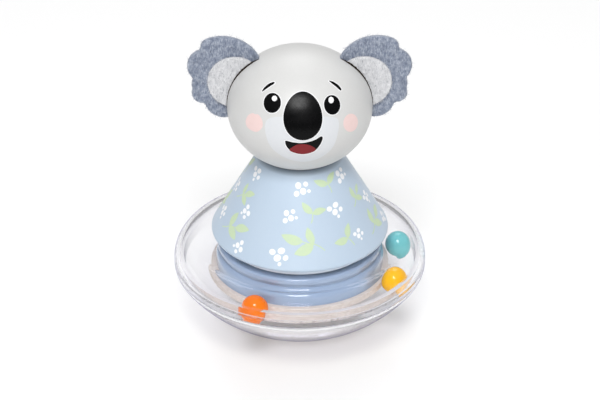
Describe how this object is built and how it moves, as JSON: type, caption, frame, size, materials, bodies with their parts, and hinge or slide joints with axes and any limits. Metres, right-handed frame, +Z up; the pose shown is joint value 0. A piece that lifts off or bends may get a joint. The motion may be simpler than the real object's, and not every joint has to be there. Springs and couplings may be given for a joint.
{
  "type": "roly poly toy",
  "caption": "Koala roly poly toy: wooden head with felt ears on a cone body, over a clear rounded base where loose balls run round a track.",
  "frame": {"origin": "middle of the flat spot under the bowl, on the surface that the toy stands on", "axes": "+Z up along the turned axis, -Y where the face looks, +X to the right as seen by someone facing the toy"},
  "size_m": [0.13, 0.13, 0.161],
  "materials": {
    "clear_plastic": "clear, polished",
    "bare_wood": "bare, sanded",
    "blue_gloss_paint": "gloss painted",
    "blue_paint": "satin painted",
    "grey_paint": "satin painted",
    "steel": "turned, zinc plated",
    "blue_grey_felt": "wool felt",
    "pale_felt": "wool felt",
    "orange_plastic": "gloss",
    "yellow_plastic": "gloss",
    "teal_plastic": "gloss"
  },
  "bodies": {
    "toy": {"lower_shell": "clear_plastic", "upper_shell": "clear_plastic", "base_disc": "bare_wood", "plinth": "blue_gloss_paint", "counterweight": "steel", "clamp_screws": "steel", "body": "blue_paint", "neck_dowel": "bare_wood", "head": "grey_paint", "left_ear": "blue_grey_felt", "right_ear": "blue_grey_felt", "left_ear_patch": "pale_felt", "right_ear_patch": "pale_felt"},
    "orange": {"orange_ball": "orange_plastic"},
    "yellow": {"yellow_ball": "yellow_plastic"},
    "teal": {"teal_ball": "teal_plastic"}
  },
  "joints": [
    {"name": "orange_orbit", "type": "hinge", "parent": "toy", "child": "orange", "pos_m": [0, 0, 0.0359], "axis": [0, 0, 1], "continuous": true},
    {"name": "yellow_orbit", "type": "hinge", "parent": "orange", "child": "yellow", "pos_m": [0, 0, 0.0359], "axis": [0, 0, 1], "range_deg": [-75, 108]},
    {"name": "teal_orbit", "type": "hinge", "parent": "yellow", "child": "teal", "pos_m": [0, 0, 0.0359], "axis": [0, 0, 1], "range_deg": [-22, 108]}
  ]
}
